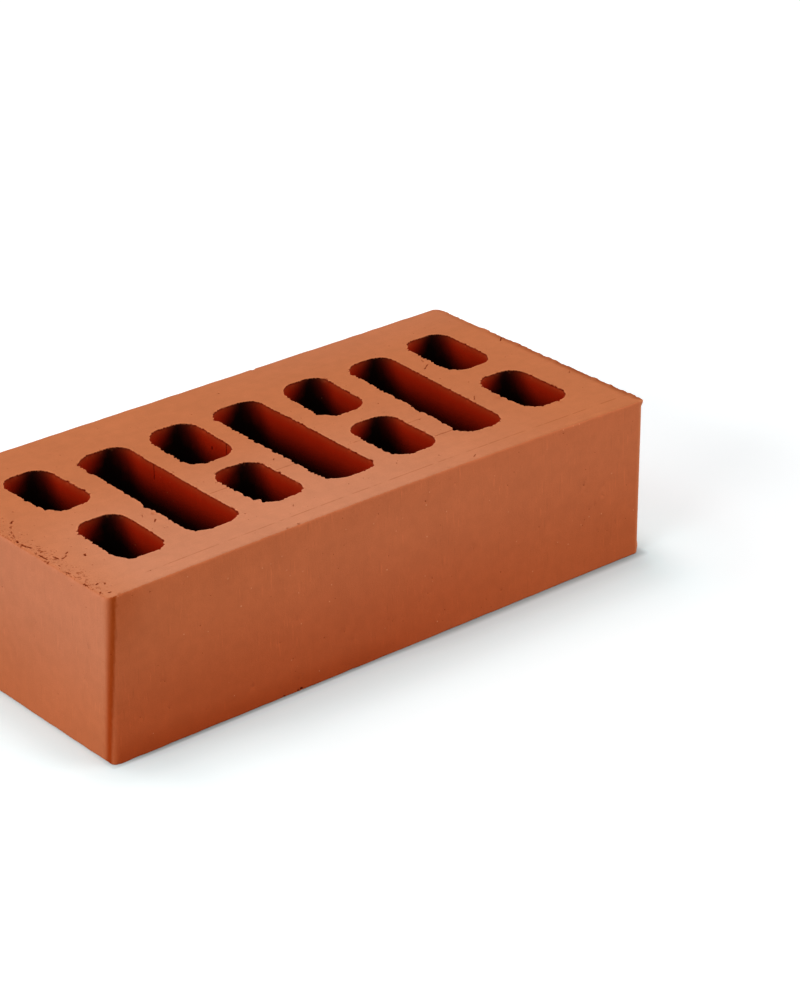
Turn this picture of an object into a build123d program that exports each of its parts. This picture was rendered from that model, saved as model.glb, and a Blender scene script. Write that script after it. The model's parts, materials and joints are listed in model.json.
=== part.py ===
from build123d import *
import os

# A facing brick of fired clay, lying on its bed, with slots that run right through it
# from bed to bed. All sizes are in millimetres. The origin is at the middle of the
# lower bed: X runs along the length, Y across the width and Z up.

# Outer size of the brick
LENGTH = 250
WIDTH = 120
HEIGHT = 65

# Edges: the die rounds the upright corners, and handling takes the sharpness off the beds
UPRIGHT_CORNER_RADIUS = 3
BED_ARRIS_RADIUS = 1

# Clay that stays outside the slots and between them
END_SHELL = 19
FACE_SHELL = 20.5
CROSS_WEB = 10
MIDDLE_WEB = 10

# Columns of slots along the brick: pairs of short slots, with one long slot between
# each pair and the next
PAIR_COLUMNS = 4
SLOT_CORNER_RADIUS = 7

# Slot sizes that follow from the walls round them
long_columns = PAIR_COLUMNS - 1
columns = PAIR_COLUMNS + long_columns
slot_width = (LENGTH - 2 * END_SHELL - (columns - 1) * CROSS_WEB) / columns
long_slot_length = WIDTH - 2 * FACE_SHELL
short_slot_length = (long_slot_length - MIDDLE_WEB) / 2

# Centres of the slots
like_column_pitch = 2 * (slot_width + CROSS_WEB)
short_slot_pitch = short_slot_length + MIDDLE_WEB


def cut_slots(pitch_x, pitch_y, count_x, count_y, length):
    """Take a grid of rounded slots, centred on the brick, out of the sketch in hand."""
    with GridLocations(pitch_x, pitch_y, count_x, count_y):
        RectangleRounded(slot_width, length, SLOT_CORNER_RADIUS, mode=Mode.SUBTRACT)


with BuildPart() as brick:
    # The section that the die gives the column of clay, pressed out along Z
    with BuildSketch() as section:
        RectangleRounded(LENGTH, WIDTH, UPRIGHT_CORNER_RADIUS)
        cut_slots(like_column_pitch, short_slot_pitch, PAIR_COLUMNS, 2, short_slot_length)
        cut_slots(like_column_pitch, 0, long_columns, 1, long_slot_length)
    extrude(amount=HEIGHT)

    # The outer arrises of the two beds, where the wire cut the column
    beds = brick.faces().filter_by(Axis.Z)
    arrises = [bed.outer_wire().edges() for bed in beds]
    fillet([edge for loop in arrises for edge in loop], radius=BED_ARRIS_RADIUS)

brick.part.label = "brick"

os.makedirs("parts", exist_ok=True)
export_step(brick.part, "parts/brick.step")
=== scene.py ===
import json
import math

import bpy
import numpy as np
from mathutils import Matrix, Vector
from mathutils.geometry import delaunay_2d_cdt


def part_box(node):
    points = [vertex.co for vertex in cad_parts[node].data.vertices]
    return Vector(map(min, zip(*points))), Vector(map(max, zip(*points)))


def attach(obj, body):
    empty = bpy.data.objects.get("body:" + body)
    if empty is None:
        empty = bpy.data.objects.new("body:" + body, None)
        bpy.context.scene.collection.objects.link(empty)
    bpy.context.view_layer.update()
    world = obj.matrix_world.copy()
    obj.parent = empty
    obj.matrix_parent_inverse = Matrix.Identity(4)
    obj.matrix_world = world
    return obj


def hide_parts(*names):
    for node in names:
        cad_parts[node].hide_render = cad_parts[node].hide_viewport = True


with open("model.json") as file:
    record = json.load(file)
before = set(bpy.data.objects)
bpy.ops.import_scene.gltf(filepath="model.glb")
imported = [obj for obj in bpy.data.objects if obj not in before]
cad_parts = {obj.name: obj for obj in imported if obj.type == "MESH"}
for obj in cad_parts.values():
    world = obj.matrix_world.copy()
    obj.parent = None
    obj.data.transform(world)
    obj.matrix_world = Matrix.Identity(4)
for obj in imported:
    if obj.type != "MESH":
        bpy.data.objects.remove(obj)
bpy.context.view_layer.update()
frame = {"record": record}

# Lengths are in metres here, and MM turns millimetres into them.
MM = 0.001

# Outer size, from the frame's box. The lower bed stands at z = 0.
low_corner, high_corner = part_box("brick")
LENGTH, WIDTH, HEIGHT = high_corner - low_corner
UPRIGHT_CORNER_RADIUS = 3 * MM

# Slots, from the openings that the record states. Each stated box stays this far inside
# the slot that it stands for, so that its corners clear the slot's rounded ones.
SLOT_CORNER_RADIUS = 7 * MM
OPENING_INSET = 2.15 * MM

# Distances between mesh points: at the lips, by the torn arris, at the upright corners, and at the
# most on the upper bed and on the rest. They grow by a share of the distance from the detail.
LIP_SPACING = 0.42 * MM
LOWER_LIP_SPACING = 0.9 * MM
SCAR_SPACING = 0.55 * MM
CORNER_SPACING = 0.7 * MM
BED_SPACING = 2.4 * MM
WALL_SPACING = 3.6 * MM
SPACING_GROWTH = 0.6
# How far from an edge, from the outer arrises above and below, and from the end with the torn
# arris the points stay as close to each other as they are there
EDGE_REACH = 1.0 * MM
UPPER_ARRIS_REACH = 1.6 * MM
LOWER_ARRIS_REACH = 0.8 * MM
SCAR_FINE_REACH = 6 * MM
# The lattice of mesh points has so many levels, the first with this step, and each with half the
# step of the one before. A level is used where the wanted spacing is below this many of its steps.
# Its points are jittered by up to this share of the spacing, and keep this many radii away from
# dents and this share of the spacing away from edges.
LEVELS = 4
LOWER_BED_LEVELS = 3
COARSEST_STEP = 3.2 * MM
LEVEL_LIMIT = 1.5
JITTER = 0.22
DENT_CLEARANCE = 1.35
EDGE_CLEARANCE = 0.55
# Steps from the foot to the top of a wall's seam
SEAM_STEPS = 48
# Points of one patch that lie closer than this, in millimetres, are joined
MERGE_DISTANCE = 1e-7
# Points this close to an outline or to a bed lie on it
ON_SURFACE = 0.01 * MM
# Keeps a division by a distance of 0 from failing
TINY = 1e-12
# Edges that bend by more than this are shaded sharp, in degrees
SHARP_ANGLE = 42

RANDOM = np.random.default_rng(seed=468)


def with_last(places, value):
    """Places with one more coordinate, the same for all of them or one for each."""
    return np.column_stack([places, np.broadcast_to(value, len(places))])


# Outlines of the section. These are the numbers of an outline's stretches.
MINUS_X_SIDE, MINUS_Y_SIDE, PLUS_X_SIDE = 2, 4, 6
CORNERS = (1, 3, 5, 7)


class RoundedRectangle:
    """A rounded rectangle in the XY plane, with its straight sides along X and Y. Its outline runs
    from the middle of the +Y side towards -X, in nine stretches: half a side, a corner, a side and
    so on, up to the other half of the +Y side."""

    def __init__(self, centre, size, radius):
        self.centre = np.array(centre, float)
        self.half = np.array(size, float) / 2
        self.radius = radius
        self.straight = self.half - radius
        side_x, side_y = self.straight
        corner = math.pi * radius / 2
        end = [corner, 2 * side_y, corner]
        self.starts = np.cumsum([0, side_x, *end, 2 * side_x, *end, side_x])
        self.perimeter = self.starts[-1]

    def points(self, travelled):
        """Places at these distances along the outline."""
        side_x, side_y = self.straight
        half_x, half_y = self.half
        stretches = [
            ((0, half_y), (-1, 0)),
            ((-side_x, side_y), 90),
            ((-half_x, side_y), (0, -1)),
            ((-side_x, -side_y), 180),
            ((-side_x, -half_y), (1, 0)),
            ((side_x, -side_y), 270),
            ((half_x, -side_y), (0, 1)),
            ((side_x, side_y), 0),
            ((side_x, half_y), (-1, 0)),
        ]
        number = np.searchsorted(self.starts, travelled, side="right") - 1
        number = np.clip(number, 0, len(stretches) - 1)
        along = travelled - self.starts[number]
        places = np.zeros((len(travelled), 2))
        for stretch, (anchor, heading) in enumerate(stretches):
            here = number == stretch
            if isinstance(heading, tuple):
                places[here] = np.array(anchor) + along[here, None] * np.array(heading)
            else:
                turn = np.radians(heading) + along[here] / self.radius
                outward = np.column_stack([np.cos(turn), np.sin(turn)])
                places[here] = np.array(anchor) + self.radius * outward
        return places + self.centre

    def nearest(self, points):
        """Distance of points from the outline, above 0 outside it, and the outline's normal there."""
        from_centre = points[:, :2] - self.centre
        sign = np.where(from_centre < 0, -1.0, 1.0)
        beyond = np.abs(from_centre) - self.straight
        in_corner = (beyond > 0).all(axis=1)
        corner_reach = np.linalg.norm(np.maximum(beyond, 0), axis=1)
        side = np.argmax(beyond, axis=1)
        straight_distance = beyond[np.arange(len(beyond)), side] - self.radius
        distance = np.where(in_corner, corner_reach - self.radius, straight_distance)
        corner_normal = np.maximum(beyond, 0) / np.maximum(corner_reach, TINY)[:, None]
        normal = np.where(in_corner[:, None], corner_normal, np.eye(2)[side]) * sign
        return distance, normal


def slots_from_record():
    """The slots' outlines by name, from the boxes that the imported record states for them."""
    outlines = {}
    for opening in frame["record"]["physics"]["openings"]:
        low, high = np.array(opening["box_m"], float)[:, :2]
        size = high - low + 2 * OPENING_INSET
        outlines[opening["name"]] = RoundedRectangle((low + high) / 2, size, SLOT_CORNER_RADIUS)
    return outlines


outer = RoundedRectangle((0, 0), (LENGTH, WIDTH), UPRIGHT_CORNER_RADIUS)
slots = slots_from_record()
outlines = [outer, *slots.values()]
OUTER = 0
slot_numbers = {name: number + 1 for number, name in enumerate(slots)}


# Noise and soft steps. These mix a cell's place and a seed to a number that looks random.
AXIS_FACTORS = np.array([73856093, 19349663, 83492791])
SEED_FACTOR = 2654435761
MIXING_FACTOR = 0x45D9F3B
MIXING_SHIFT = 16
LARGEST = 0xFFFFFFFF


def hashed(cells, seed):
    """A repeatable random number from -1 to 1 for each cell."""
    mixed = (cells * AXIS_FACTORS[: cells.shape[1]]).sum(axis=1) + seed * SEED_FACTOR
    mixed &= LARGEST
    for _ in range(2):
        mixed = ((mixed ^ (mixed >> MIXING_SHIFT)) * MIXING_FACTOR) & LARGEST
    mixed = mixed ^ (mixed >> MIXING_SHIFT)
    return mixed / (LARGEST >> 1) - 1


def noise(points, cell, seed):
    """Smooth noise from -1 to 1, from random numbers at the corners of a lattice of that cell size.
    Each use has a seed of its own."""
    scaled = points / cell
    base = np.floor(scaled).astype(np.int64)
    share = scaled - base
    share = share * share * (3 - 2 * share)
    total = np.zeros(len(scaled))
    dimensions = scaled.shape[1]
    for corner in range(2 ** dimensions):
        offset = np.array([(corner >> axis) & 1 for axis in range(dimensions)])
        weight = np.prod(np.where(offset, share, 1 - share), axis=1)
        total += weight * hashed(base + offset, seed)
    return total


def ramp(value, start, end):
    """0 before start, 1 after end, and smooth between them."""
    share = np.clip((value - start) / (end - start), 0, 1)
    return share * share * (3 - 2 * share)


def fall(value, start, end):
    """1 before start, 0 after end, and smooth between them."""
    return 1 - ramp(value, start, end)


# Dents: pits, fissures, drag marks and crumbs. Each runs from a start to an end in the
# flat coordinates of its patch, which are x and y on a bed, and distance travelled and
# height on a wall. A pit starts and ends at one place. A dent's darkness is painted shade in its
# hollow. A crumb has a depth below 0, so it stands up, and a darkness below 0, so it is pale.
# Its mesh points lie along its middle and on rings round it: the rings' distances in radii, with
# the fewest points on each, and how many radii these lie apart along a fissure.
DENT_RINGS = ((0.5, 5), (1.05, 9))
DENT_STEP = 0.7


class Dent:
    def __init__(self, start, end, radius, depth, darkness=1.0):
        self.start = np.array(start, float)
        self.end = np.array(end, float)
        self.radius = radius
        self.depth = depth
        self.darkness = darkness

    def mesh_points(self):
        """Flat places on and round the dent, close enough to each other to carry its shape."""
        run = self.end - self.start
        length = np.linalg.norm(run)
        ahead = run / length if length > 0 else np.array([1.0, 0.0])
        aside = np.array([-ahead[1], ahead[0]])
        middle = np.linspace(0, length, int(length / self.radius) + 1)
        places = [self.start + middle[:, None] * ahead]
        for radii, fewest in DENT_RINGS:
            offset = radii * self.radius
            round_end = math.pi * offset
            around = 2 * length + 2 * round_end
            count = fewest + int(2 * length / (DENT_STEP * self.radius))
            travelled = np.linspace(0, around, count + 1)[:-1]
            side = np.clip(travelled, 0, length) - np.clip(travelled - length - round_end, 0, length)
            turn = np.clip(travelled - length, 0, round_end)
            turn += np.clip(travelled - 2 * length - round_end, 0, round_end)
            angle = turn / offset - math.pi / 2
            reach = offset * (np.cos(angle)[:, None] * ahead + np.sin(angle)[:, None] * aside)
            places.append(self.start + side[:, None] * ahead + reach)
        return np.vstack(places)


def distance_to_run(points, start, end):
    """Distance of points from the straight run between two places."""
    run = end - start
    length_squared = run @ run
    if length_squared == 0:
        return np.linalg.norm(points - start, axis=1)
    share = np.clip((points - start) @ run / length_squared, 0, 1)
    return np.linalg.norm(points - start - share[:, None] * run, axis=1)


# How dark a mark is, from faint to strong
FAINT, CLEAR, STRONG = 0.4, 0.75, 1.0
# How pale crumbs are on the upper bed and on the outer walls
CRUMB_PALENESS = 0.5
WALL_CRUMB_PALENESS = 0.75
# How deep pits and drag marks are, and how high crumbs are on the upper bed and on the outer
# walls, in radii
PIT_DEPTH = 0.8
DRAG_DEPTH = 1.2
CRUMB_HEIGHT = 0.3
WALL_CRUMB_HEIGHT = 0.25


def pit(place, radius, darkness):
    return Dent(place, place, radius, PIT_DEPTH * radius, darkness)


def crumb(place, radius, height, paleness):
    return Dent(place, place, radius, -height * radius, -paleness)


def scattered_dents(count, low, high, smallest, largest):
    """Random pits over a patch, most of them small."""
    dents = []
    for _ in range(count):
        place = RANDOM.uniform(low, high)
        radius = smallest + (largest - smallest) * RANDOM.uniform() ** 2.5
        dents.append(pit(place, radius, RANDOM.uniform(0.5, STRONG)))
    return dents


# Pits on the upper bed that the photograph shows: x, y and radius in millimetres, and darkness
UPPER_PITS = [
    (-111.4, -20.5, 0.36, STRONG), (-113.8, -36.4, 0.29, CLEAR), (-112.6, -35.2, 0.25, FAINT),
    (-108.5, -35.9, 0.26, CLEAR), (-110.4, -47.1, 0.2, FAINT), (-101.4, -52.7, 0.29, CLEAR),
    (-94.2, -55.4, 0.26, CLEAR), (-78.3, -16.3, 0.26, CLEAR), (-82.0, -27.3, 0.26, CLEAR),
    (-77.1, -29.6, 0.25, CLEAR), (-78.3, -29.5, 0.25, CLEAR), (-108.1, -14.6, 0.25, FAINT),
    (-87.3, -52.2, 0.25, FAINT), (-101.4, -6.7, 0.29, CLEAR), (-89.8, -0.9, 0.26, CLEAR),
    (-111.3, 15.2, 0.33, CLEAR), (-118.7, -7.6, 0.33, CLEAR), (-118.1, 1.5, 0.2, FAINT),
    (-71.7, 43.1, 0.26, CLEAR), (-57.1, 48.6, 0.26, CLEAR), (-74.0, 46.2, 0.26, FAINT),
    (-71.0, 36.7, 0.26, CLEAR), (-13.6, 40.7, 0.36, CLEAR), (-49.0, 4.8, 0.33, CLEAR),
    (-17.6, 18.8, 0.26, FAINT), (-45.7, -8.8, 0.29, STRONG), (-47.1, -7.4, 0.25, FAINT),
    (-42.6, -12.2, 0.36, CLEAR), (-18.6, -13.3, 0.26, CLEAR), (-50.2, -39.0, 0.33, STRONG),
    (-11.7, -31.9, 0.33, CLEAR), (-10.7, -36.9, 0.29, CLEAR), (-38.3, -49.3, 0.2, FAINT),
    (-30.0, -48.6, 0.2, FAINT), (45.9, 2.7, 0.4, STRONG), (13.7, 1.4, 0.26, CLEAR),
    (14.0, -7.6, 0.26, FAINT), (15.9, -16.9, 0.26, CLEAR), (48.1, -30.3, 0.26, CLEAR),
    (-7.3, -44.0, 0.29, STRONG), (17.0, -41.9, 0.36, STRONG), (18.5, -40.5, 0.25, CLEAR),
    (36.6, -40.5, 0.25, FAINT), (1.1, -45.0, 0.26, FAINT), (33.1, -46.7, 0.33, CLEAR),
    (22.3, -4.0, 0.26, FAINT), (32.0, -4.0, 0.26, CLEAR), (42.3, -4.8, 0.29, FAINT),
    (16.6, 18.8, 0.4, CLEAR), (15.4, 11.4, 0.29, CLEAR), (20.9, 9.3, 0.26, CLEAR),
    (47.3, 23.6, 0.29, FAINT), (85.1, -4.3, 0.33, CLEAR), (111.9, 4.5, 0.29, CLEAR),
    (115.5, 4.6, 0.26, FAINT), (78.9, 5.3, 0.29, CLEAR), (84.6, 42.4, 0.29, CLEAR),
    (119.1, 45.5, 0.29, FAINT), (111.5, 15.0, 0.26, CLEAR), (120.0, 15.8, 0.36, FAINT),
    (121.7, -29.8, 0.33, FAINT), (122.0, -33.1, 0.26, CLEAR), (-40.9, -59.4, 0.33, STRONG),
    (-46.0, -59.4, 0.26, CLEAR), (-122.8, -29.5, 0.4, STRONG), (-121.3, -31.4, 0.26, CLEAR),
    (-124.4, -51.1, 0.4, STRONG), (-120.2, -12.7, 0.36, STRONG), (-121.7, -20.4, 0.26, FAINT),
    (14.0, -18.0, 0.26, FAINT), (17.5, -18.1, 0.26, FAINT), (48.3, -18.3, 0.33, CLEAR),
    (46.3, -33.5, 0.29, CLEAR), (-41.0, -33.1, 0.26, CLEAR),
]

# Fissures and cracks on the upper bed: two places and a half width in millimetres, and darkness
FISSURES = [
    ((-123.5, -18.6), (-123.3, -22.9), 0.46, STRONG), ((-120.3, -22.7), (-120.1, -25.2), 0.41, STRONG),
    ((-119.0, -26.0), (-116.5, -24.8), 0.41, CLEAR), ((-116.2, -23.8), (-114.6, -22.9), 0.3, CLEAR),
    ((-123.9, -35.0), (-123.5, -37.1), 0.41, CLEAR), ((-124.4, -46.1), (-124.2, -47.9), 0.46, STRONG),
    ((-120.5, -48.9), (-121.5, -49.3), 0.41, STRONG), ((-118.4, -50.0), (-118.9, -50.7), 0.41, CLEAR),
    ((-124.6, -55.2), (-123.5, -54.5), 0.41, CLEAR), ((-120.8, -56.8), (-121.5, -56.8), 0.46, STRONG),
    ((-122.9, -10.5), (-122.4, -12.3), 0.46, STRONG), ((-124.0, -17.3), (-123.3, -16.4), 0.35, FAINT),
    ((-123.1, -4.3), (-123.6, -5.9), 0.46, STRONG), ((-123.3, -8.0), (-123.3, -10.4), 0.56, STRONG),
    ((-120.6, 2.7), (-121.0, 1.5), 0.35, CLEAR), ((-122.8, -0.9), (-123.1, -1.8), 0.35, FAINT),
    ((-121.4, 0.2), (-122.1, -1.6), 0.35, FAINT), ((-118.1, 6.3), (-119.2, 4.9), 0.35, FAINT),
    ((-115.6, 9.1), (-116.9, 8.1), 0.45, STRONG), ((-111.1, -27.9), (-111.7, -29.1), 0.46, STRONG),
    ((-76.7, -22.0), (-78.0, -23.4), 0.41, CLEAR), ((-78.3, -16.3), (-79.2, -17.7), 0.2, FAINT),
    ((-14.3, -9.8), (-15.2, -10.7), 0.3, FAINT), ((-32.9, -44.3), (-33.8, -45.4), 0.2, FAINT),
    ((124.4, 20.3), (121.2, 17.7), 0.35, CLEAR), ((80.5, 16.2), (84.1, 18.6), 0.41, CLEAR),
    ((84.6, 21.5), (85.3, 23.9), 0.3, FAINT), ((77.9, -15.7), (75.5, -18.3), 0.3, FAINT),
    ((121.7, -21.7), (120.3, -23.1), 0.3, FAINT), ((41.8, -58.1), (43.5, -56.4), 0.3, FAINT),
    ((43.0, -33.3), (51.3, -33.4), 0.3, FAINT), ((-124.1, 26.0), (-124.2, 29.0), 0.46, CLEAR),
    ((-124.1, 35.5), (-123.8, 40.5), 0.56, CLEAR), ((-124.2, 47.5), (-124.1, 51.5), 0.46, CLEAR),
]

# Pits on the -Y face: x, z and radius in millimetres, and darkness. Their darkness is painted
# shade, and the last three, at the foot, paint the shadow of small gaps under it.
FRONT_PITS = [
    (-86.0, 40.9, 0.27, CLEAR), (-102.2, 25.2, 0.27, CLEAR), (-104.0, 25.8, 0.24, FAINT),
    (-113.1, 15.1, 0.24, FAINT), (-31.8, 17.3, 0.27, CLEAR), (-22.4, 16.3, 0.27, FAINT),
    (-46.1, 13.9, 0.27, CLEAR), (-43.7, 28.2, 0.24, FAINT), (-51.6, 22.2, 0.24, FAINT),
    (-4.9, 57.2, 0.27, CLEAR), (-0.9, 39.4, 0.24, CLEAR), (0.2, 43.8, 0.24, CLEAR),
    (-24.0, 42.0, 0.24, FAINT), (0.0, 13.0, 0.24, CLEAR), (-18.7, 11.8, 0.24, FAINT),
    (17.1, 55.3, 0.34, STRONG), (19.3, 23.9, 0.24, CLEAR), (25.0, 9.1, 0.24, CLEAR),
    (52.8, 15.3, 0.27, CLEAR), (52.8, 7.8, 0.27, CLEAR), (56.5, 49.6, 0.24, CLEAR),
    (31.2, 58.3, 0.24, CLEAR), (17.1, 18.5, 0.24, CLEAR), (28.8, 60.6, 0.24, CLEAR),
    (83.9, 62.5, 0.31, CLEAR), (94.6, 38.0, 0.31, CLEAR), (72.0, 27.7, 0.27, CLEAR),
    (97.5, 27.1, 0.27, CLEAR), (94.3, 21.2, 0.27, CLEAR), (107.0, 15.1, 0.24, FAINT),
    (-42.9, 0.6, 0.9, STRONG), (-44.4, 0.5, 0.6, STRONG), (-50.7, 0.5, 0.6, CLEAR),
]

# Pale crumbs on the -Y face: x, z and radius in millimetres
FRONT_CRUMBS = [
    (-68.0, 42.2, 0.41), (-73.1, 54.5, 0.41), (-93.1, 40.1, 0.34), (-63.2, 47.5, 0.34), (-90.5, 61.3, 0.34),
    (-82.7, 37.5, 0.28), (-72.7, 8.8, 0.28), (-108.0, 7.0, 0.28), (-46.8, 13.6, 0.34), (-41.8, 26.3, 0.34),
    (-42.5, 38.6, 0.41), (-40.2, 46.3, 0.34), (-20.1, 56.1, 0.34), (-49.2, 55.1, 0.34), (-58.0, 53.5, 0.34),
    (-54.2, 53.9, 0.34), (-1.9, 34.2, 0.41), (-27.5, 36.8, 0.34), (-28.7, 30.6, 0.34), (-7.3, 54.1, 0.34),
    (-3.6, 11.2, 0.34), (-34.6, 4.9, 0.41), (-47.3, 49.1, 0.34), (-45.9, 46.5, 0.34), (17.4, 53.8, 0.5),
    (17.3, 41.2, 0.41), (15.9, 25.8, 0.34), (19.3, 22.5, 0.34), (21.3, 5.6, 0.34), (50.1, 55.3, 0.34),
    (56.7, 38.7, 0.34), (60.7, 25.4, 0.34), (19.0, 58.4, 0.34), (6.0, 52.0, 0.34), (2.9, 48.0, 0.34),
    (47.6, 46.2, 0.34), (26.9, 48.2, 0.34), (75.8, 58.4, 0.34), (108.8, 38.6, 0.41), (97.5, 23.9, 0.34),
    (93.4, 21.8, 0.34), (86.9, 15.8, 0.34), (81.5, 18.4, 0.34), (68.7, 10.3, 0.34), (103.9, 23.2, 0.34),
    (120.8, 19.4, 0.34), (-120.0, 64.3, 0.34), (84.0, 64.0, 0.41), (89.0, 64.1, 0.34), (92.0, 64.0, 0.34),
]

# Pits on the -X face: y, z and radius in millimetres, and darkness
END_PITS = [
    (-30.2, 33.5, 0.23, CLEAR), (-14.7, 32.1, 0.23, CLEAR), (-47.6, 56.8, 0.27, CLEAR),
    (-39.5, 61.9, 0.23, CLEAR), (-44.5, 28.2, 0.23, CLEAR), (-17.0, 58.4, 0.18, FAINT),
    (-27.1, 7.7, 0.2, FAINT),
]

# Drag marks down the +X walls of slots: slot, y, depth at both ends and half width in millimetres
DRAG_MARKS = [
    ("long_slot_1", 17.2, 0.6, 6.5, 0.32),
    ("short_slot_back_2", 14.0, 0.4, 9.0, 0.32),
    ("short_slot_back_2", 23.6, 5.8, 6.6, 0.6),
]

# Small pits lie thick along the torn arris: how far in from the -X end they begin, how far on from
# there they reach, and between which y they lie
SCAR_NEAREST = 0.3 * MM
SCAR_REACH = 7 * MM
SCAR_START = -58 * MM
SCAR_END = 25 * MM
# They lie in clusters of about this size, with gaps where noise is below this level. One mark in
# so many is a crumb.
CLUSTER_SIZE = 7 * MM
GAP_LEVEL = -0.1
MARKS_TO_A_CRUMB = 4


def scar_dents(count):
    """Small pits and crumbs along the torn arris, in clusters, most of them close to it."""
    dents = []
    while len(dents) < count:
        inland = SCAR_NEAREST + SCAR_REACH * RANDOM.uniform() ** 2.4
        place = np.array([low_corner.x + inland, RANDOM.uniform(SCAR_START, SCAR_END)])
        radius = RANDOM.uniform(0.15, 0.33) * MM
        darkness = RANDOM.uniform(FAINT, STRONG)
        if noise(place[None], CLUSTER_SIZE, 65)[0] < GAP_LEVEL:
            continue
        if (len(dents) + 1) % MARKS_TO_A_CRUMB == 0:
            dents.append(crumb(place, radius, CRUMB_HEIGHT, CRUMB_PALENESS))
        else:
            dents.append(pit(place, radius, darkness))
    return dents


def upper_bed_dents():
    runs = [((x, y), (x, y), radius, darkness) for x, y, radius, darkness in UPPER_PITS] + FISSURES
    starts = before_drift([run[0] for run in runs])
    ends = before_drift([run[1] for run in runs])
    named = [
        Dent(start, end, radius * MM, radius * MM, darkness)
        for start, end, (_, _, radius, darkness) in zip(starts, ends, runs)
    ]
    torn = scar_dents(180)
    low, high = -outer.half, outer.half
    return named + torn + scattered_dents(30, low, high, smallest=0.15 * MM, largest=0.35 * MM)


def lower_bed_dents():
    return scattered_dents(70, -outer.half, outer.half, smallest=0.3 * MM, largest=0.9 * MM)


def outer_wall_dents():
    front_middle = outer.starts[MINUS_Y_SIDE] + outer.straight[0]
    end_middle = outer.starts[MINUS_X_SIDE] + outer.straight[1]
    dents = [
        pit((front_middle + x * MM, z * MM), radius * MM, darkness)
        for x, z, radius, darkness in FRONT_PITS
    ]
    dents += [
        pit((end_middle - y * MM, z * MM), radius * MM, darkness)
        for y, z, radius, darkness in END_PITS
    ]
    dents += [
        crumb((front_middle + x * MM, z * MM), radius * MM, WALL_CRUMB_HEIGHT, WALL_CRUMB_PALENESS)
        for x, z, radius in FRONT_CRUMBS
    ]
    low = (0, 3 * MM)
    high = (outer.perimeter, HEIGHT - 3 * MM)
    return dents + scattered_dents(60, low, high, smallest=0.12 * MM, largest=0.25 * MM)


def slot_wall_dents(name):
    slot = slots[name]
    side_middle = slot.starts[PLUS_X_SIDE] + slot.straight[1]
    dents = []
    for slot_name, y, upper, lower, radius in DRAG_MARKS:
        if slot_name == name:
            travelled = side_middle + y * MM - slot.centre[1]
            start = (travelled, HEIGHT - upper * MM)
            end = (travelled, HEIGHT - lower * MM)
            dents.append(Dent(start, end, radius * MM, DRAG_DEPTH * radius * MM))
    return dents


# Rest mesh: flat faces and sharp lips, before any relief


class Mesh:
    """Points and triangles, gathered patch by patch. Patches share the points on their common edges."""

    def __init__(self):
        self.points = np.zeros((0, 3))
        self.triangles = []
        self.dents = []

    def add(self, points):
        first = len(self.points)
        self.points = np.vstack([self.points, points])
        return np.arange(first, first + len(points))

    def triangulate(self, flat, numbers, keep, flip):
        """Join flat places to triangles. numbers are the places' numbers in the mesh."""
        places = [Vector(place) for place in (flat / MM).tolist()]
        faces, origins = delaunay_2d_cdt(places, [], [], 0, MERGE_DISTANCE, True)[2:4]
        source = np.array([origin[0] for origin in origins])
        corners = source[np.array(faces)]
        corners = corners[keep(flat[corners].mean(axis=1))]
        if flip:
            corners = corners[:, ::-1]
        self.triangles.append(numbers[corners])


def graded_lattice(low, high, spacing, levels, dents):
    """Jittered points, closer together where spacing(points) asks for it, and the dents' own points.
    A finer level leaves out the points that the levels before it have."""
    chosen = []
    for level in range(levels):
        step = COARSEST_STEP / 2 ** level
        columns, rows = (np.arange(int((b - a) / step) + 2) for a, b in zip(low, high))
        index = np.stack(np.meshgrid(columns, rows, indexing="ij"), axis=-1).reshape(-1, 2)
        if level:
            index = index[(index % 2 == 1).any(axis=1)]
        grid = np.array(low) + index * step
        wanted = spacing(grid)
        taken = wanted < LEVEL_LIMIT * step
        jitter = RANDOM.uniform(-JITTER, JITTER, grid.shape) * np.minimum(wanted, step)[:, None]
        chosen.append((grid + jitter)[taken])
    lattice = np.vstack(chosen)
    for dent in dents:
        clear = distance_to_run(lattice, dent.start, dent.end) > DENT_CLEARANCE * dent.radius
        lattice = lattice[clear]
    return np.vstack([lattice, *[dent.mesh_points() for dent in dents]])


def distance_to_edges(points):
    """Distance of points on a bed from the nearest outline, slots and outer edge alike."""
    return np.min([np.abs(outline.nearest(points)[0]) for outline in outlines], axis=0)


def on_clay(points):
    """True where a place on a bed is clay."""
    inside = outer.nearest(points)[0] < 0
    for slot in slots.values():
        inside &= slot.nearest(points)[0] > 0
    return inside


def build_bed(mesh, rings, spacing, levels, height, dents):
    """One bed, between the rings of the outer edge and of the slots."""
    faces_up = height > 0
    inner = graded_lattice(-outer.half, outer.half, spacing, levels, dents)
    clear = distance_to_edges(inner) > EDGE_CLEARANCE * spacing(inner)
    inner = inner[on_clay(inner) & clear]
    inner_numbers = mesh.add(with_last(inner, height))
    numbers = np.concatenate([*rings, inner_numbers])
    mesh.triangulate(mesh.points[numbers, :2], numbers, on_clay, flip=not faces_up)
    into_clay = np.array([0, 0, -1.0 if faces_up else 1.0])
    for dent in dents:
        start, end = (np.append(place, height) for place in (dent.start, dent.end))
        mesh.dents.append((dent, start, end, into_clay))


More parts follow.
